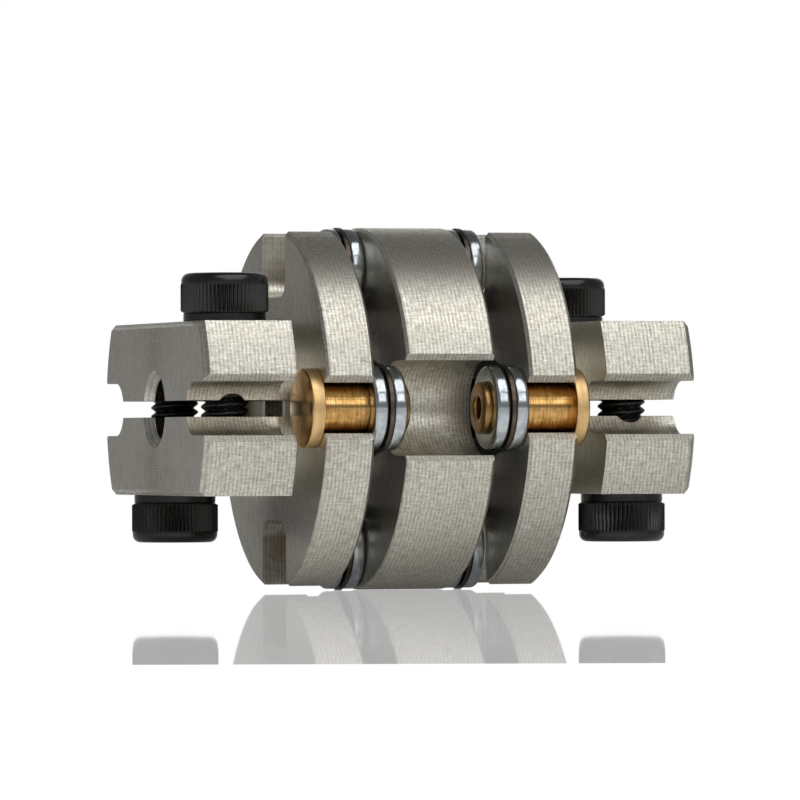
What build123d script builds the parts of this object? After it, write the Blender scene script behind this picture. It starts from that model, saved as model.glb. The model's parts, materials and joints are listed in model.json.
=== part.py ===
from build123d import *
import math
import os

# A double disc coupling for two shafts in line on the X axis. The origin is the
# middle of the coupling, +Z is up, and every size is in millimetres.

# Hubs and centre body
outer_r = 9.5
bore_r = 1.59
bore_chamfer = 0.45
block_length = 4.9  # clamp block, from the end face to the relief
neck_length = 1.6  # relief between the block and the flange
neck_r = 4.75
flange_thickness = 2.6
centre_thickness = 4.8
passage_r = 3.25  # hole through the centre body
flat_height = 4.5  # from the axis to each milled flat of the block
clamp_slot = 0.85
end_chamfer = 0.3
rim_chamfer = 0.16

# Slots that are open to the rim, with their round bottoms on the rivet circle
rivet_circle_r = 7.25
rivet_slot_r = 1.3
block_groove_r = 1.38
clearance_slot_r = 2.45
mouth_chamfer = 0.43

# Disc packs: washer, disc, washer at each of the four rivets
washer_r = 2.2
washer_thickness = 0.8
washer_hole_r = 1.27
disc_thickness = 0.2
disc_lobe_r = 2.26
disc_waist_r = 5.4  # from the axis to the middle of each hollow side
disc_hole_r = 3.6

# Rivets
shank_r = 1.24
rivet_head_r = 2.05
rivet_head_thickness = 0.73
rivet_head_chamfer = 0.13
rivet_lip_r = 1.36
rivet_lip_height = 0.4
rivet_tip_r = 1.1
rivet_hole_r = 0.6
rivet_hole_depth = 1.3

# Clamp screws, M2.5 by 8
screw_offset = 4.64  # from the shaft axis to the screw axis
screw_r = 1.25
screw_length = 8.0
screw_head_r = 2.27
screw_head_height = 2.5
screw_head_chamfer = 0.35
screw_collar_r = 2.14
screw_collar_height = 0.42
socket_flats = 2.0
socket_depth = 1.2
clearance_hole_r = 1.45
tapped_hole_r = 1.28

# Stations along the shaft axis, from the middle out to the end face
pack_thickness = 2 * washer_thickness + disc_thickness
centre_x = centre_thickness / 2
flange_x = centre_x + pack_thickness
neck_x = flange_x + flange_thickness
block_x = neck_x + neck_length
end_x = block_x + block_length
screw_x = (block_x + end_x) / 2

beyond = 1.0  # how far a cutter runs past the surface that it opens


def slab(sketch, low_x, high_x):
    """Prism between two stations of a section drawn in Y and Z."""
    return extrude(Plane.YZ.offset(low_x) * sketch, high_x - low_x)


def turned(points):
    """Solid turned about the X axis from its (x, radius) outline."""
    return revolve(make_face(Polyline(*points, close=True)), Axis.X)


def turned_disc(low_x, high_x):
    """Full-diameter disc with both rims broken."""
    shoulder = outer_r - rim_chamfer
    return turned([
        (low_x, 0),
        (low_x, shoulder),
        (low_x + rim_chamfer, outer_r),
        (high_x - rim_chamfer, outer_r),
        (high_x, shoulder),
        (high_x, 0),
    ])


def rim_slot(radius, angle):
    """Section of a round-bottomed slot that flares where it meets the rim."""
    reach = outer_r + beyond
    wall = math.sqrt(outer_r**2 - radius**2) - mouth_chamfer
    flare = radius + reach - wall
    bottom = Pos(rivet_circle_r, 0) * Circle(radius)
    straight = Pos((rivet_circle_r + reach) / 2, 0) * Rectangle(
        reach - rivet_circle_r, 2 * radius
    )
    mouth = make_face(Polyline(
        (wall, -radius), (reach, -flare), (reach, flare), (wall, radius), close=True
    ))
    return Rot(0, 0, angle) * (bottom + straight + mouth)


def clamp_block():
    """Outer end of a hub: a full-diameter stub with two flats and eased end edges."""
    section = Circle(outer_r) & Rectangle(2 * outer_r, 2 * flat_height)
    block = slab(section, block_x, end_x)
    end_edges = block.faces().sort_by(Axis.X)[-1].edges()
    return chamfer(end_edges, end_chamfer)


def hub():
    """Right-hand hub: clamp block, relief neck and flange in one piece."""
    body = clamp_block()
    body += slab(Circle(neck_r), neck_x, block_x)
    body += turned_disc(flange_x, neck_x)

    # The bore, with a broad chamfer at the shaft's entry
    body -= turned([
        (flange_x - beyond, 0),
        (flange_x - beyond, bore_r),
        (end_x - bore_chamfer, bore_r),
        (end_x, bore_r + bore_chamfer),
        (end_x + beyond, bore_r + bore_chamfer),
        (end_x + beyond, 0),
    ])

    # The slit that lets the block close on the shaft, down to the flange
    slit = Rectangle(2 * outer_r + beyond, clamp_slot)
    body -= slab(slit, neck_x, end_x + beyond)

    for angle in (0, 180):
        body -= slab(rim_slot(block_groove_r, angle), block_x, end_x + beyond)
        body -= slab(rim_slot(rivet_slot_r, angle), flange_x - beyond, neck_x)
    for angle in (90, -90):
        body -= slab(rim_slot(clearance_slot_r, angle), flange_x - beyond, neck_x)

    # Each screw has a clearance hole under its head and a tapped hole beyond the slit
    depth = flat_height + beyond
    for side in (1, -1):
        for radius, up in ((clearance_hole_r, side), (tapped_hole_r, -side)):
            hole = Cylinder(radius, depth)
            body -= Pos(screw_x, side * screw_offset, up * depth / 2) * hole
    return body


def centre_body():
    """Floating disc between the two packs."""
    body = turned_disc(-centre_x, centre_x)
    low, high = -centre_x - beyond, centre_x + beyond
    body -= slab(Circle(passage_r), low, high)
    for angle in (0, 180):
        body -= slab(rim_slot(clearance_slot_r, angle), low, high)
    for angle in (90, -90):
        rivet_hole = Rot(0, 0, angle) * Pos(rivet_circle_r, 0) * Circle(washer_hole_r)
        body -= slab(rivet_hole, low, high)
    return body


def flexible_disc():
    """Thin spring disc: a lobe round each rivet and hollow sides between them."""
    # The hollow side is an arc that touches both lobes and passes the waist point.
    half = rivet_circle_r * math.cos(math.radians(45))
    side_r = (
        rivet_circle_r**2 + disc_waist_r**2 - 2 * half * disc_waist_r - disc_lobe_r**2
    ) / (2 * (disc_lobe_r + half - disc_waist_r))
    side_centre = disc_waist_r + side_r
    share = disc_lobe_r / (disc_lobe_r + side_r)
    touch = (
        rivet_circle_r + (side_centre * math.cos(math.radians(45)) - rivet_circle_r) * share,
        side_centre * math.sin(math.radians(45)) * share,
    )
    tip = (rivet_circle_r + disc_lobe_r, 0)
    waist = (disc_waist_r * math.cos(math.radians(45)), disc_waist_r * math.sin(math.radians(45)))
    next_touch = (touch[1], touch[0])
    lobe = ThreePointArc((touch[0], -touch[1]), tip, touch)
    side = ThreePointArc(touch, waist, next_touch)
    outline = [Rot(0, 0, 90 * turn) * edge for turn in range(4) for edge in (lobe, side)]
    section = make_face(outline) - Circle(disc_hole_r)
    for turn in range(4):
        section -= Rot(0, 0, 90 * turn) * Pos(rivet_circle_r, 0) * Circle(washer_hole_r)
    return slab(section, -disc_thickness / 2, disc_thickness / 2)


def washer():
    """Spacing washer, from x = 0 to its thickness."""
    return slab(Circle(washer_r) - Circle(washer_hole_r), 0, washer_thickness)


def rivet(grip):
    """Semi-tubular rivet: head below x = 0, rolled lip beyond x = grip."""
    head_x = -rivet_head_thickness
    tip_x = grip + rivet_lip_height
    return turned([
        (head_x, 0),
        (head_x, rivet_head_r - rivet_head_chamfer),
        (head_x + rivet_head_chamfer, rivet_head_r),
        (0, rivet_head_r),
        (0, shank_r),
        (grip, shank_r),
        (grip, rivet_lip_r),
        (tip_x, rivet_tip_r),
        (tip_x, rivet_hole_r),
        (tip_x - rivet_hole_depth, rivet_hole_r),
        (tip_x - rivet_hole_depth, 0),
    ])


def cap_screw():
    """Socket head cap screw along X: the head rises from x = 0, the shank runs to -X."""
    top = screw_head_height
    screw = turned([
        (-screw_length, 0),
        (-screw_length, screw_r),
        (0, screw_r),
        (0, screw_collar_r),
        (screw_collar_height, screw_collar_r),
        (screw_collar_height + screw_head_r - screw_collar_r, screw_head_r),
        (top - screw_head_chamfer, screw_head_r),
        (top, screw_head_r - screw_head_chamfer),
        (top, 0),
    ])
    socket = RegularPolygon(socket_flats / 2, 6, major_radius=False)
    return screw - slab(socket, top - socket_depth, top + beyond)


def save(name, solid):
    """One sub-part, one file."""
    solid.label = name
    export_step(solid, os.path.join("parts", name + ".step"))


def on_circle(turn, x):
    """Place on the rivet circle: turn 0 is +Y, 90 is +Z."""
    angle = math.radians(turn)
    return Pos(x, rivet_circle_r * math.cos(angle), rivet_circle_r * math.sin(angle))


os.makedirs("parts", exist_ok=True)

# The left half is the right half after half a turn about Z, so its +Y side is the near one.
halves = {
    "right": (Rot(0, 0, 0), "far", "near"),
    "left": (Rot(0, 0, 180), "near", "far"),
}
disc_x = centre_x + washer_thickness + disc_thickness / 2
washer_stations = {"inner": centre_x, "outer": flange_x - washer_thickness}

one_hub = hub()
one_disc = flexible_disc()
one_washer = washer()
one_screw = cap_screw()
hub_rivet = rivet(pack_thickness + flange_thickness)
long_rivet = rivet(centre_thickness + 2 * pack_thickness)

for half, (turn, plus_y, minus_y) in halves.items():
    save(half + "_hub", turn * one_hub)
    save(half + "_disc", turn * Pos(disc_x, 0, 0) * one_disc)

    for side, name in ((1, plus_y), (-1, minus_y)):
        # The rivet's head is in the relief and its lip is over the centre body.
        seat = Pos(neck_x, side * rivet_circle_r, 0) * Rot(0, 0, 180)
        save(f"{half}_{name}_rivet", turn * seat * hub_rivet)

        # The screw's head is on top on one side and underneath on the other.
        seat = Pos(screw_x, side * screw_offset, side * flat_height) * Rot(0, -90 * side, 0)
        save(f"{half}_{name}_screw", turn * seat * one_screw)

    for angle, name in ((0, plus_y), (180, minus_y), (90, "top"), (-90, "bottom")):
        for layer, x in washer_stations.items():
            save(f"{half}_{name}_{layer}_washer", turn * on_circle(angle, x) * one_washer)

save("centre_body", centre_body())
for angle, name in ((90, "top"), (-90, "bottom")):
    save(f"{name}_long_rivet", on_circle(angle, -flange_x) * long_rivet)
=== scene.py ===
import json
import math

import bmesh
import bpy
from mathutils import Matrix, Vector


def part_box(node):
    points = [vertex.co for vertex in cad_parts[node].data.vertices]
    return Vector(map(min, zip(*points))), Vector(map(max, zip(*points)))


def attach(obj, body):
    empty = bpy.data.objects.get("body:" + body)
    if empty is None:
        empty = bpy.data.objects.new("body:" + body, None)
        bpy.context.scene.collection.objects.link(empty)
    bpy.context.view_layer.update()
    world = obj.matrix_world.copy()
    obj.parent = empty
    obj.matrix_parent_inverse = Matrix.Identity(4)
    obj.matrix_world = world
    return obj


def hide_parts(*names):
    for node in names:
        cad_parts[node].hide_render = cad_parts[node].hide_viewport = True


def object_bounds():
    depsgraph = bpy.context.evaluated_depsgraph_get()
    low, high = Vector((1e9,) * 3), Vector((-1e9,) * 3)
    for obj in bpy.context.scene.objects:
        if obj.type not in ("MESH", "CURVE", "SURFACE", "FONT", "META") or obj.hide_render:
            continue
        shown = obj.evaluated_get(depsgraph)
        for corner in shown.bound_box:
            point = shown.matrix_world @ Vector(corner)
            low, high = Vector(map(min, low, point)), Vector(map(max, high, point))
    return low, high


MM = 0.001

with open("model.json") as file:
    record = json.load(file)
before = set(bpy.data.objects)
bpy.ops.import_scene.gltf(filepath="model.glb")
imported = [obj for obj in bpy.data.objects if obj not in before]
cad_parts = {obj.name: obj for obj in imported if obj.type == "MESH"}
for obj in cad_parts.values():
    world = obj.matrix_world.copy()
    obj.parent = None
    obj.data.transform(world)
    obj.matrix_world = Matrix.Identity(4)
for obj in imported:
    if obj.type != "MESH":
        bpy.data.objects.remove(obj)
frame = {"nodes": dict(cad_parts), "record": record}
cad_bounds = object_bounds()
NODES = frame["nodes"]
SLOT_OF = {part["node"]: part["material_slot"] for part in frame["record"]["subparts"]}
body_low, body_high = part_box("centre_body")
RIM_R = (body_high[2] - body_low[2]) / 2
FLOOR_Z = cad_bounds[0][2]

# Sizes of the coupling, along and out from the shaft axis
FLANGE_INNER_X = 4.2 * MM
FLANGE_OUTER_X = 6.8 * MM
FLAT_HEIGHT = 4.5 * MM
RIVET_CIRCLE_R = 7.25 * MM
RIVET_SHANK_R = 1.24 * MM

# Steps round a turned piece and round a thread
TURNED_STEPS = 72
THREAD_STEPS = 60

# ---------------------------------------------------------------- camera and light

CAMERA_AZIMUTH = math.radians(-17.9)
CAMERA_ELEVATION = math.radians(-0.27)
CAMERA_DISTANCE = 0.400
CAMERA_LENS = 342.0
CAMERA_ROLL = math.radians(-0.2)
CAMERA_SHIFT = (0.0034, 0.0109)

# The surround as light and reflections find it, from straight down to straight up
SKY = [
    (0.00, (0.30, 0.30, 0.30)),
    (0.50, (0.20, 0.20, 0.20)),
    (0.75, (0.20, 0.20, 0.20)),
    (1.00, (0.08, 0.08, 0.08)),
]
# How nearly ahead a direction has to be to meet the white backdrop, and how much of the turn
# blends into it
BACKDROP_EDGE = 0.90
BACKDROP_BLEND = 0.02
# Glow of the floor in front of the coupling, the dimmer glow behind it that is painted shadow,
# and where one gives way to the other
FLOOR_GLOW = 0.40
FLOOR_GLOW_IN_PAINTED_SHADOW = 0.09
GLOW_TO_SHADOW_RANGE = (-13 * MM, -4 * MM)


def add_camera():
    """Long lens, nearly level with the shaft axis and a little to its left."""
    view = Vector((
        -math.sin(CAMERA_AZIMUTH) * math.cos(CAMERA_ELEVATION),
        math.cos(CAMERA_AZIMUTH) * math.cos(CAMERA_ELEVATION),
        -math.sin(CAMERA_ELEVATION),
    ))
    data = bpy.data.cameras.new("camera")
    data.lens = CAMERA_LENS
    data.sensor_width = 36.0
    data.shift_x, data.shift_y = CAMERA_SHIFT
    data.clip_start = 0.01
    data.clip_end = 20.0
    camera = bpy.data.objects.new("camera", data)
    camera.location = -view * CAMERA_DISTANCE
    aim = view.to_track_quat("-Z", "Y").to_matrix() @ Matrix.Rotation(CAMERA_ROLL, 3, "Z")
    camera.rotation_euler = aim.to_euler()
    bpy.context.scene.collection.objects.link(camera)
    bpy.context.scene.camera = camera


def add_softbox(name, place, size, watts):
    """White rectangular lamp that faces the coupling."""
    data = bpy.data.lights.new(name, "AREA")
    data.shape = "RECTANGLE"
    data.size, data.size_y = size
    data.energy = watts
    lamp = bpy.data.objects.new(name, data)
    lamp.location = place
    lamp.rotation_euler = (-Vector(place)).to_track_quat("-Z", "Y").to_euler()
    bpy.context.scene.collection.objects.link(lamp)


# ---------------------------------------------------------------- node helpers


def new_tree(name):
    """A material with an empty node tree."""
    material = bpy.data.materials.new(name)
    material.use_nodes = True
    tree = material.node_tree
    tree.nodes.clear()
    return material, tree


def add(tree, kind, inputs=None, **settings):
    """Adds a node, sets it up, and links or fills its inputs."""
    node = tree.nodes.new("ShaderNode" + kind)
    for key, value in settings.items():
        setattr(node, key, value)
    for key, value in (inputs or {}).items():
        if isinstance(value, bpy.types.NodeSocket):
            tree.links.new(value, node.inputs[key])
        else:
            node.inputs[key].default_value = value
    return node


def maths(tree, operation, a, b=0.0):
    return add(tree, "Math", {0: a, 1: b}, operation=operation).outputs[0]


def times(tree, value, by):
    return maths(tree, "MULTIPLY", value, by)


def plus(tree, value, other):
    return maths(tree, "ADD", value, other)


def spread(tree, value, low_in, high_in, low_out, high_out):
    """Maps one range of a value onto another."""
    node = add(tree, "MapRange", {
        "Value": value, "From Min": low_in, "From Max": high_in,
        "To Min": low_out, "To Max": high_out,
    })
    return node.outputs["Result"]


def blend_numbers(tree, share, a, b):
    node = add(tree, "Mix", {0: share, 2: a, 3: b}, data_type="FLOAT")
    return node.outputs[0]


def blend_colours(tree, share, a, b):
    node = add(tree, "Mix", {0: share, 6: a, 7: b}, data_type="RGBA")
    return node.outputs[2]


def combine(tree, x, y, z=0.0):
    return add(tree, "CombineXYZ", {0: x, 1: y, 2: z}).outputs[0]


def noise(tree, vector, scale=1.0, detail=2.0, roughness=0.5):
    node = add(tree, "TexNoise", {
        "Vector": vector, "Scale": scale, "Detail": detail, "Roughness": roughness,
    })
    return node.outputs["Fac"]


def turned_coordinates(tree):
    """Place in millimetres, along, round and out from the shaft axis, and how far a
    surface faces along it: 0 on a rim, 1 on a flat face."""
    place = add(tree, "TexCoord").outputs["Object"]
    millimetres = add(tree, "VectorMath", {0: place, "Scale": 1 / MM}, operation="SCALE")
    parts = add(tree, "SeparateXYZ", {0: millimetres.outputs[0]}).outputs
    outwards = combine(tree, 0.0, parts[1], parts[2])
    radius = add(tree, "VectorMath", {0: outwards}, operation="LENGTH").outputs["Value"]
    angle = maths(tree, "ARCTAN2", parts[2], parts[1])
    arc = times(tree, angle, RIM_R / MM)
    normal = add(tree, "NewGeometry").outputs["Normal"]
    along = add(tree, "SeparateXYZ", {0: normal}).outputs[0]
    face = spread(tree, maths(tree, "ABSOLUTE", along), 0.80, 0.98, 0.0, 1.0)
    return {
        "x": parts[0], "y": parts[1], "z": parts[2], "place": millimetres.outputs[0],
        "radius": radius, "arc": arc, "face": face,
    }


def colour_ramp(tree, value, stops):
    node = add(tree, "ValToRGB", {0: value})
    ramp = node.color_ramp
    while len(ramp.elements) < len(stops):
        ramp.elements.new(0.5)
    for element, (position, colour) in zip(ramp.elements, stops):
        element.position = position
        element.color = (*colour, 1.0)
    return node.outputs["Color"]


def metal_output(tree, colour, roughness, height, depth, soft_edge=0.0, metallic=1.0,
                 index=1.5):
    """Principled shader with fine relief and, where a soft edge is given, eased edges."""
    inputs = {"Base Color": colour, "Roughness": roughness, "Metallic": metallic, "IOR": index}
    shader = add(tree, "BsdfPrincipled", inputs)
    bump = {"Height": height, "Distance": depth, "Strength": 1.0}
    if soft_edge:
        bump["Normal"] = add(tree, "Bevel", {"Radius": soft_edge}, samples=4).outputs[0]
    normal = add(tree, "Bump", bump).outputs[0]
    tree.links.new(normal, shader.inputs["Normal"])
    output = add(tree, "OutputMaterial")
    tree.links.new(shader.outputs[0], output.inputs["Surface"])


# ---------------------------------------------------------------- materials


# Millimetres between the tool marks on the rims, and on the faces
TURNING_PITCH = 0.21
RING_PITCH = 0.15
# Millimetres from the axis where the bore's polished mouth gives way to the face
MOUTH_EDGE = (2.05, 2.10)


def stainless_steel():
    """Turned and milled stainless: a cross-hatched rim and faces with fine rings."""
    material, tree = new_tree("machined_stainless")
    at = turned_coordinates(tree)
    x, arc, radius = at["x"], at["arc"], at["radius"]
    over_rim = combine(tree, times(tree, x, 10.0), times(tree, arc, 1.7))
    hoops = noise(tree, over_rim, 1.0, 3.0, 0.65)
    along_rim = combine(tree, times(tree, x, 1.6), times(tree, arc, 11.0), 5.0)
    lines = noise(tree, along_rim, 1.0, 3.0, 0.65)
    round_face = combine(tree, times(tree, radius, 9.0), times(tree, arc, 0.35), 9.0)
    rings = noise(tree, round_face, 1.0, 2.0)
    drawn = combine(tree, times(tree, x, 2.0), times(tree, at["y"], 7.0),
                    times(tree, at["z"], 1.4))
    grain = noise(tree, drawn, 1.0, 4.0, 0.6)
    speckle = noise(tree, at["place"], 9.0, 5.0, 0.65)
    patches = noise(tree, at["place"], 0.35, 3.0)

    # The rims: tool marks that wander a little, crossed by hoops and lines
    wander = plus(tree, x, times(tree, speckle, 0.05))
    ribs = maths(tree, "SINE", times(tree, wander, 2 * math.pi / TURNING_PITCH))
    ribs = spread(tree, ribs, -1.0, 1.0, 0.36, 0.64)
    hatch = plus(tree, times(tree, hoops, 0.35), times(tree, lines, 0.35))
    hatch = plus(tree, hatch, times(tree, ribs, 0.30))

    # The faces: rings and drawn grain, with a painted sheen that makes them a little lighter to
    # the sides
    circles = maths(tree, "SINE", times(tree, radius, 2 * math.pi / RING_PITCH))
    milled = plus(tree, times(tree, rings, 0.12), times(tree, grain, 0.20))
    milled = plus(tree, milled, spread(tree, circles, -1.0, 1.0, 0.31, 0.37))
    # Painted sheen: the faces are lightened to the sides of the bore and darkened above and below
    # it
    painted_sheen_side = maths(tree, "DIVIDE", maths(tree, "ABSOLUTE", at["y"]), radius)
    milled = plus(tree, milled, spread(tree, painted_sheen_side, 0.0, 1.0, -0.035, 0.035))

    relief = blend_numbers(tree, at["face"], hatch, milled)
    relief = plus(tree, times(tree, relief, 0.75), times(tree, speckle, 0.25))
    contrast = spread(tree, relief, 0.40, 0.60, 0.0, 1.0)
    shade = plus(tree, times(tree, contrast, 0.85), times(tree, patches, 0.15))
    colour = colour_ramp(tree, shade, [
        (0.10, (0.38, 0.36, 0.305)),
        (0.50, (0.62, 0.595, 0.52)),
        (0.90, (0.86, 0.83, 0.75)),
    ])
    roughness = spread(tree, shade, 0.1, 0.9, 0.48, 0.30)
    mouth = spread(tree, radius, *MOUTH_EDGE, 1.0, 0.0)
    roughness = blend_numbers(tree, mouth, roughness, 0.14)
    metal_output(tree, colour, roughness, relief, 0.011 * MM, soft_edge=0.05 * MM)
    return material


def spring_steel():
    """Thin rolled strip with a warm brown cast."""
    material, tree = new_tree("tanned_spring_steel")
    at = turned_coordinates(tree)
    drawn = combine(tree, 0.0, times(tree, at["y"], 6.0), at["z"])
    streaks = noise(tree, drawn, 1.0, 4.0)
    colour = colour_ramp(tree, streaks, [
        (0.2, (0.07, 0.055, 0.042)), (0.8, (0.17, 0.14, 0.11)),
    ])
    roughness = spread(tree, streaks, 0.2, 0.8, 0.42, 0.30)
    metal_output(tree, colour, roughness, streaks, 0.004 * MM)
    return material


def brass():
    """Turned brass: fine hoops and darker spots, painted shade on the tips, and a painted lighter
    rim on the heads.
    """
    material, tree = new_tree("turned_brass")
    place = add(tree, "TexCoord").outputs["Object"]
    x, y, z = add(tree, "SeparateXYZ", {0: place}).outputs
    stretched = combine(tree, times(tree, x, 11 / MM), times(tree, y, 0.6 / MM),
                        times(tree, z, 0.6 / MM))
    hoops = noise(tree, stretched, 1.0, 3.0)
    spots = noise(tree, place, 1.8 / MM, 4.0, 0.6)
    shade = plus(tree, times(tree, hoops, 0.5), times(tree, spots, 0.5))
    colour = colour_ramp(tree, shade, [
        (0.32, (0.34, 0.16, 0.045)),
        (0.50, (0.66, 0.38, 0.125)),
        (0.70, (0.94, 0.64, 0.28)),
    ])
    reach = maths(tree, "ABSOLUTE", x)
    # Painted shade: the rolled tips, their cupped hollows included, are blended towards a dark
    # brown
    tip = spread(tree, reach, 2.35 * MM, 2.45 * MM, 1.0, 0.0)
    normal = add(tree, "NewGeometry").outputs["Normal"]
    along = maths(tree, "ABSOLUTE", add(tree, "SeparateXYZ", {0: normal}).outputs[0])
    # Painted light: the rims of the rivet heads are blended towards a paler gold; they also get a
    # satin roughness
    head = spread(tree, reach, 6.75 * MM, 6.80 * MM, 0.0, 1.0)
    head = times(tree, head, spread(tree, along, 0.2, 0.6, 1.0, 0.0))
    pale, painted_tip_shade = (0.95, 0.70, 0.36, 1.0), (0.20, 0.11, 0.045, 1.0)
    # Painted light on the head rims
    colour = blend_colours(tree, times(tree, head, 0.6), colour, pale)
    colour = blend_colours(tree, times(tree, tip, 0.6), colour, painted_tip_shade)
    satin = plus(tree, times(tree, head, 0.20), times(tree, tip, 0.08))
    roughness = plus(tree, spread(tree, shade, 0.3, 0.7, 0.28, 0.14), satin)
    metal_output(tree, colour, roughness, hoops, 0.003 * MM, soft_edge=0.03 * MM)
    return material


def zinc():
    """Bright zinc plate with a faint blue cast and light handling marks."""
    material, tree = new_tree("bright_zinc_plate")
    place = add(tree, "TexCoord").outputs["Object"]
    cloud = noise(tree, place, 2.2 / MM, 4.0, 0.6)
    fine = noise(tree, place, 14 / MM, 3.0, 0.6)
    colour = colour_ramp(tree, cloud, [
        (0.3, (0.42, 0.46, 0.49)), (0.7, (0.70, 0.74, 0.76)),
    ])
    roughness = spread(tree, cloud, 0.3, 0.7, 0.22, 0.10)
    metal_output(tree, colour, roughness, fine, 0.002 * MM)
    return material


def black_oxide():
    """Oil-black oxide on steel, rubbed a little lighter in spots."""
    material, tree = new_tree("black_oxide")
    place = add(tree, "TexCoord").outputs["Object"]
    cloud = noise(tree, place, 1.6 / MM, 5.0, 0.6)
    fine = noise(tree, place, 9 / MM, 4.0, 0.6)
    colour = colour_ramp(tree, cloud, [
        (0.35, (0.003, 0.003, 0.003)), (0.75, (0.012, 0.012, 0.012)),
    ])
    roughness = spread(tree, fine, 0.3, 0.7, 0.30, 0.16)
    metal_output(tree, colour, roughness, fine, 0.004 * MM, metallic=0.0, index=1.6)
    return material


# ---------------------------------------------------------------- turned pieces


def round_corner(centre, radius, start, end, steps=6):
    """Points of an arc, as (axial, radial), from one angle in degrees to another."""
    points = []
    for step in range(steps + 1):
        angle = math.radians(start + (end - start) * step / steps)
        across, out = radius * math.cos(angle), radius * math.sin(angle)
        points.append((centre[0] + across, centre[1] + out))
    return points


def lathe(rows, segments, closed=False):
    """Vertices and faces swept round the local X axis. Each row is (x, radius), and the
    radius may be a function of the angle. A row of radius 0 is a single point."""
    vertices, faces, loops = [], [], []
    for x, radius in rows:
        if radius == 0:
            loops.append([len(vertices)] * segments)
            vertices.append((x, 0.0, 0.0))
            continue
        loop = []
        for turn in range(segments):
            angle = 2 * math.pi * turn / segments
            r = radius(angle) if callable(radius) else radius
            loop.append(len(vertices))
            vertices.append((x, r * math.cos(angle), r * math.sin(angle)))
        loops.append(loop)
    if closed:
        loops.append(loops[0])
    for first, second in zip(loops, loops[1:]):
        for turn in range(segments):
            after = (turn + 1) % segments
            corners = [first[turn], first[after], second[after], second[turn]]
            # A row of radius 0 gives the same point twice
            corners = list(dict.fromkeys(corners))
            if len(corners) > 2:
                faces.append(corners)
    return vertices, faces


def smooth(mesh, sharp_degrees):
    """Rounds the shading, except at edges that turn by more than an angle."""
    mesh.polygons.foreach_set("use_smooth", [True] * len(mesh.polygons))
    mesh.set_sharp_from_angle(angle=math.radians(sharp_degrees))


def stand_for(piece, node):
    """Puts a piece on the only body, in the place of a CAD node, which it hides."""
    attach(piece, "root")
    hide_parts(node)


def add_piece(node, shells, place, material):
    """Makes one mesh from its shells, sets it in place and lets it stand for a CAD node."""
    name = node + "_look"
    vertices, faces = [], []
    for shell_vertices, shell_faces in shells:
        start = len(vertices)
        vertices += [place @ Vector(vertex) for vertex in shell_vertices]
        faces += [[start + index for index in face] for face in shell_faces]
    mesh = bpy.data.meshes.new(name)
    mesh.from_pydata([tuple(vertex) for vertex in vertices], [], faces)
    mesh.validate()
    mesh.update()
    smooth(mesh, 38)
    mesh.materials.append(material)
    piece = bpy.data.objects.new(name, mesh)
    bpy.context.scene.collection.objects.link(piece)
    stand_for(piece, node)


def axis_frame(origin, direction):
    """Matrix that carries local +X onto a direction."""
    turn = Vector(direction).to_track_quat("X", "Z").to_matrix().to_4x4()
    return Matrix.Translation(origin) @ turn


def centre_and_size(node):
    """Middle and extents of a CAD node's box."""
    near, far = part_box(node)
    return [(a + b) / 2 for a, b in zip(near, far)], [b - a for a, b in zip(near, far)]


def add_washer(node, material):
    """Thick spacing washer with well-rounded corners."""
    centre, size = centre_and_size(node)
    outer, inner = size[1] / 2, 1.27 * MM
    edge, eased = 0.26 * MM, 0.06 * MM
    half = size[0] / 2
    rows = round_corner((half - edge, outer - edge), edge, 0, 90)
    rows += round_corner((-half + edge, outer - edge), edge, 90, 180)
    rows += round_corner((-half + eased, inner + eased), eased, 180, 270, 2)
    rows += round_corner((half - eased, inner + eased), eased, 270, 360, 2)
    shell = lathe(rows, TURNED_STEPS, closed=True)
    add_piece(node, [shell], axis_frame(centre, (1, 0, 0)), material)


def tubular_end(length):
    """Rows of a rivet's rolled, cupped end, from the shank to the bottom of its bore."""
    lip, lip_r, hole_r, hole_depth = 0.4 * MM, 1.36 * MM, 0.58 * MM, 1.3 * MM
    curl, roll, eased = 0.2 * MM, 0.16 * MM, 0.14 * MM
    rows = [(length - lip, RIVET_SHANK_R), (length - lip, lip_r - 0.02 * MM),
            (length - lip + 0.04 * MM, lip_r)]
    rows += round_corner((length - curl, lip_r - curl), curl, 60, 0, 5)[:-1]
    rows += round_corner((length - eased, hole_r + 0.3 * MM), eased, 30, 0, 2)
    rows += round_corner((length - roll, hole_r + roll), roll, 0, -90, 5)
    rows += [(length - hole_depth, hole_r), (length - hole_depth - 0.2 * MM, 0)]
    return rows


def add_rivet(node, head_side, material):
    """Semi-tubular rivet: turned head, plain shank and a rolled, cupped tip."""
    centre, size = centre_and_size(node)
    length, head_r = size[0], size[1] / 2
    head, edge = 0.73 * MM, 0.12 * MM
    rows = [(0, 0)]
    rows += round_corner((edge, head_r - edge), edge, 180, 90, 4)
    rows += round_corner((head - edge / 2, head_r - edge / 2), edge / 2, 90, 0, 3)
    rows += [(head, RIVET_SHANK_R)] + tubular_end(length)
    end = centre[:]
    end[0] += head_side * length / 2
    shell = lathe(rows, TURNED_STEPS)
    add_piece(node, [shell], axis_frame(end, (-head_side, 0, 0)), material)


def add_long_rivet(node, material):
    """Rivet through the centre body, rolled over at both ends."""
    half_length = 4.6 * MM
    centre = centre_and_size(node)[0]
    right = tubular_end(half_length)
    rows = [(-x, radius) for x, radius in reversed(right)] + right
    shell = lathe(rows, TURNED_STEPS)
    add_piece(node, [shell], Matrix.Translation((0, centre[1], centre[2])), material)


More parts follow.
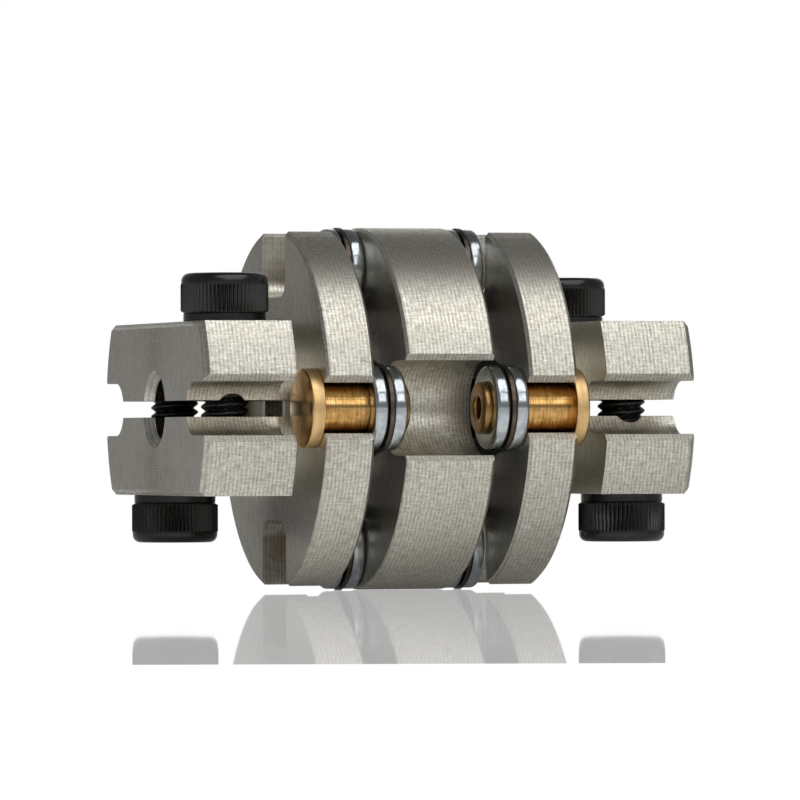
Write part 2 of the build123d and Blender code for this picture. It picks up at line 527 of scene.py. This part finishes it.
def add_screw(node, material):
    """Socket head cap screw: knurled head over a plain collar, hexagon socket, thread."""
    centre, size = centre_and_size(node)
    up = 1 if centre[2] > 0 else -1
    head_r, length = size[0] / 2, 8.0 * MM
    height = size[2] - length
    collar_r, collar = 2.14 * MM, 0.42 * MM
    across_flats, socket_depth = 2.0 * MM, 1.2 * MM
    knurl_top, ridges, ridge = 1.95 * MM, 64, 0.12 * MM
    crown, crown_r = 0.42 * MM, head_r - 0.03 * MM

    def knurled(angle):
        return head_r - ridge * (0.5 - 0.5 * math.cos(ridges * angle)) ** 0.8

    def hexagon(angle):
        from_middle = (angle + math.pi / 6) % (math.pi / 3) - math.pi / 6
        return across_flats / 2 / math.cos(from_middle)

    def socket_mouth(angle):
        return hexagon(angle) + 0.10 * MM

    head = [
        (0, 0),
        (0, collar_r - 0.05 * MM),
        (0.05 * MM, collar_r),
        (collar - 0.05 * MM, collar_r),
        (collar, collar_r - 0.04 * MM),
        (collar + 0.04 * MM, collar_r),
        (collar + 0.12 * MM, knurled),
        (knurl_top - 0.08 * MM, knurled),
        (knurl_top, crown_r),
    ]
    head += round_corner((height - crown, crown_r - crown), crown, 90, 0, 8)
    head += [
        (height, socket_mouth),
        (height - 0.10 * MM, hexagon),
        (height - socket_depth, hexagon),
        (height - socket_depth - 0.25 * MM, 0),
    ]

    pitch, major_r, root_depth = 0.45 * MM, 1.24 * MM, 0.24 * MM
    point, point_depth = 0.25 * MM, 0.2 * MM

    def thread(x):
        def radius(angle):
            phase = (x / pitch - angle / (2 * math.pi)) % 1.0
            flank = min(abs(2 * phase - 1) * 1.25, 1.0)
            taper = max(0.0, 1 - (x + length) / point) * point_depth
            return major_r - root_depth * (1 - flank) - taper
        return radius

    steps = round(length / (pitch / 10))
    shank = [(-length, 0)]
    for step in range(steps + 1):
        x = -length + length * step / steps
        shank.append((x, thread(x)))
    shank.append((0, 0))

    reach = max(abs(corner[2]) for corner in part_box(node))
    seat = [centre[0], centre[1], up * (reach - height)]
    shells = [lathe(head, ridges * 6), lathe(shank, THREAD_STEPS)]
    add_piece(node, shells, axis_frame(seat, (0, 0, up)), material)


# ---------------------------------------------------------------- hubs


def notch_lining(side, up, inner_x, outer_x, outer_r):
    """U-shaped lining that makes a flange's clearance notch shallower and narrower. Its
    outside is sunk in the flange, and it stops at the rim."""
    sunk_half, half, bottom, corner = 3.1 * MM, 2.10 * MM, 5.82 * MM, 0.95 * MM
    mouth, ease = 0.12 * MM, 0.16 * MM
    round_steps, rim_steps = 24, 5
    lip = half + mouth
    across = [lip + (sunk_half - lip) * step / rim_steps for step in range(rim_steps + 1)]
    turns = [math.pi * step / round_steps for step in range(round_steps + 1)]
    sections = [(inner_x, outer_r - ease), (inner_x + ease, outer_r),
                (outer_x - ease, outer_r), (outer_x, outer_r - ease)]
    vertices = []
    for x, rim in sections:
        top = [(y, math.sqrt(rim ** 2 - y ** 2)) for y in across]
        wall_top = top[0][1] - mouth
        outline = list(top)
        outline += [(sunk_half * math.cos(turn), RIVET_CIRCLE_R - sunk_half * math.sin(turn))
                    for turn in turns]
        outline += [(-y, z) for y, z in reversed(top)]
        outline.append((-half, wall_top))
        outline += round_corner((-half + corner, bottom + corner), corner, 180, 270, 8)
        outline += round_corner((half - corner, bottom + corner), corner, 270, 360, 8)
        outline.append((half, wall_top))
        vertices += [(side * x, y, up * z) for y, z in outline]
    total, count = len(vertices), len(vertices) // len(sections)
    faces = [tuple(range(count)), tuple(range(total - count, total))]
    for first in range(0, total - count, count):
        second = first + count
        for index in range(count):
            after = (index + 1) % count
            faces.append((first + index, first + after, second + after, second + index))
    return closed_mesh("notch_lining", vertices, faces)


def flat_cutter(side, up):
    """Box that levels the neck with the clamp block's flats."""
    along, across = (6.85 * MM, 8.45 * MM), (-1.7 * MM, 1.7 * MM)
    out = (FLAT_HEIGHT, 5.0 * MM)
    corners = [(side * x, y, up * z) for x in along for y in across for z in out]
    faces = [(0, 1, 3, 2), (4, 6, 7, 5), (0, 4, 5, 1), (2, 3, 7, 6), (0, 2, 6, 4), (1, 5, 7, 3)]
    return closed_mesh("flat_cutter", corners, faces)


def closed_mesh(name, vertices, faces):
    """Mesh with its faces turned outwards."""
    mesh = bpy.data.meshes.new(name)
    mesh.from_pydata(vertices, [], faces)
    sorter = bmesh.new()
    sorter.from_mesh(mesh)
    bmesh.ops.recalc_face_normals(sorter, faces=sorter.faces)
    sorter.to_mesh(mesh)
    sorter.free()
    return mesh


def merge(body, tool_mesh, operation):
    """Joins a tool to a body, or cuts it out, and keeps the result as the body's mesh."""
    tool = bpy.data.objects.new("tool", tool_mesh)
    bpy.context.scene.collection.objects.link(tool)
    step = body.modifiers.new("step", "BOOLEAN")
    step.operation = operation
    step.solver = "EXACT"
    step.object = tool
    bpy.context.view_layer.update()
    whole = body.evaluated_get(bpy.context.evaluated_depsgraph_get())
    mesh = bpy.data.meshes.new_from_object(whole)
    body.modifiers.clear()
    body.data = mesh
    bpy.data.objects.remove(tool)


def plain_copy(source_mesh, name):
    """Copy of a mesh with its seams welded and its flat faces whole, without its normals."""
    welded = bmesh.new()
    welded.from_mesh(source_mesh)
    bmesh.ops.remove_doubles(welded, verts=welded.verts, dist=0.0005 * MM)
    bmesh.ops.dissolve_limit(welded, angle_limit=math.radians(0.5),
                             verts=welded.verts, edges=welded.edges)
    welded.verts.index_update()
    vertices = [vertex.co[:] for vertex in welded.verts]
    faces = [[vertex.index for vertex in face.verts] for face in welded.faces]
    welded.free()
    mesh = bpy.data.meshes.new(name)
    mesh.from_pydata(vertices, [], faces)
    return mesh


def add_hub(node, material):
    """The solid's hub with shallower clearance notches, and its neck level with the flats."""
    side = 1 if centre_and_size(node)[0][0] > 0 else -1
    source = NODES[node]
    body = bpy.data.objects.new(node + "_look", plain_copy(source.data, node + "_plain"))
    body.matrix_world = source.matrix_world
    bpy.context.scene.collection.objects.link(body)
    for up in (1, -1):
        merge(body, notch_lining(side, up, FLANGE_INNER_X, FLANGE_OUTER_X, RIM_R), "UNION")
        merge(body, flat_cutter(side, up), "DIFFERENCE")
    mesh = body.data
    mesh.name = node + "_look"
    mesh.materials.clear()
    mesh.materials.append(material)
    mesh.polygons.foreach_set("material_index", [0] * len(mesh.polygons))
    smooth(mesh, 24)
    stand_for(body, node)


# ---------------------------------------------------------------- stage


def view_direction():
    """Level direction from the camera to the coupling."""
    return Vector((-math.sin(CAMERA_AZIMUTH), math.cos(CAMERA_AZIMUTH), 0.0))


def pale_output(tree, gloss_share):
    """White to the eye, and a lit, shadowed sheet to everything else, with a glow that is dimmer
    behind the coupling as painted shadow.
    The gloss share makes it a mirror at a low angle."""
    path = add(tree, "LightPath").outputs
    matt = add(tree, "BsdfDiffuse", {"Color": (0.70, 0.70, 0.70, 1)}).outputs[0]
    shown = add(tree, "Emission", {"Color": (1, 1, 1, 1), "Strength": 1.0}).outputs[0]
    place = add(tree, "NewGeometry").outputs["Position"]
    ahead = add(tree, "VectorMath", {0: place, 1: view_direction()}, operation="DOT_PRODUCT")
    # Painted shadow: the sheet's glow drops behind the coupling, where its shadow falls
    strength = spread(tree, ahead.outputs["Value"], *GLOW_TO_SHADOW_RANGE, FLOOR_GLOW, FLOOR_GLOW_IN_PAINTED_SHADOW)
    glow = add(tree, "Emission", {"Color": (1, 1, 1, 1), "Strength": strength}).outputs[0]
    lit = add(tree, "AddShader", {0: matt, 1: glow}).outputs[0]
    plain = add(tree, "MixShader", {0: path["Is Camera Ray"], 1: lit, 2: shown}).outputs[0]
    gloss = add(tree, "BsdfGlossy", {"Color": (1, 1, 1, 1), "Roughness": 0.02}).outputs[0]
    fresnel = add(tree, "Fresnel", {"IOR": 1.45}).outputs[0]
    share = maths(tree, "MULTIPLY", fresnel, gloss_share)
    mixed = add(tree, "MixShader", {0: share, 1: plain, 2: gloss}).outputs[0]
    output = add(tree, "OutputMaterial")
    tree.links.new(mixed, output.inputs["Surface"])


def add_sheet(name, depth_near, depth_far, half_width, height, gloss_share):
    """Level sheet, square to the camera, from in front of the coupling to behind it."""
    material, tree = new_tree(name)
    pale_output(tree, gloss_share)
    ahead = view_direction()
    across = Vector((ahead.y, -ahead.x, 0.0)) * half_width
    corners = [ahead * depth_near - across, ahead * depth_near + across,
               ahead * depth_far + across, ahead * depth_far - across]
    mesh = bpy.data.meshes.new(name)
    mesh.from_pydata([(c.x, c.y, height) for c in corners], [], [(0, 1, 2, 3)])
    mesh.materials.append(material)
    sheet = bpy.data.objects.new(name, mesh)
    bpy.context.scene.collection.objects.link(sheet)


def add_world():
    """White to the eye. For light: pale near the horizon, darker overhead, and a white
    backdrop straight behind the coupling."""
    world = bpy.data.worlds.new("studio")
    bpy.context.scene.world = world
    world.use_nodes = True
    tree = world.node_tree
    tree.nodes.clear()
    direction = add(tree, "TexCoord").outputs["Generated"]
    height = add(tree, "SeparateXYZ", {0: direction}).outputs[2]
    glow = colour_ramp(tree, spread(tree, height, -1.0, 1.0, 0.0, 1.0), SKY)
    facing = add(tree, "VectorMath", {0: direction, 1: view_direction()}, operation="DOT_PRODUCT")
    behind = spread(tree, facing.outputs["Value"], BACKDROP_EDGE,
                    BACKDROP_EDGE + BACKDROP_BLEND, 0.0, 1.0)
    white = (1.0, 1.0, 1.0, 1.0)
    sky = blend_colours(tree, behind, glow, white)
    lit = add(tree, "Background", {"Color": sky, "Strength": 1.0}).outputs[0]
    shown = add(tree, "Background", {"Color": white, "Strength": 1.0}).outputs[0]
    path = add(tree, "LightPath").outputs
    mixed = add(tree, "MixShader", {0: path["Is Camera Ray"], 1: lit, 2: shown}).outputs[0]
    output = add(tree, "OutputWorld")
    tree.links.new(mixed, output.inputs["Surface"])


# ---------------------------------------------------------------- build


MATERIALS = {
    "stainless_steel": stainless_steel(),
    "spring_steel": spring_steel(),
    "brass": brass(),
    "zinc_washer": zinc(),
    "black_oxide_screw": black_oxide(),
}

bpy.context.scene.view_settings.view_transform = "Standard"
add_camera()
add_softbox("overhead", (0.05, -0.235, 0.43), (0.60, 0.32), 0.91)
add_softbox("front", (0.10, -0.60, 0.32), (0.60, 0.25), 0.65)
add_world()
add_sheet("table", -3.0, 3.0, 3.0, FLOOR_Z - 0.5 * MM, 0.0)
add_sheet("glossy_plate", -0.136, 0.9, 0.6, FLOOR_Z, 0.70)

for node, piece in NODES.items():
    material = MATERIALS[SLOT_OF[node]]
    for index in range(len(piece.material_slots)):
        piece.material_slots[index].material = material
    if node.endswith("_hub"):
        add_hub(node, material)
    elif node.endswith("_washer"):
        add_washer(node, material)
    elif node.endswith("_long_rivet"):
        add_long_rivet(node, material)
    elif node.endswith("_rivet"):
        add_rivet(node, 1 if centre_and_size(node)[0][0] > 0 else -1, material)
    elif node.endswith("_screw"):
        add_screw(node, material)
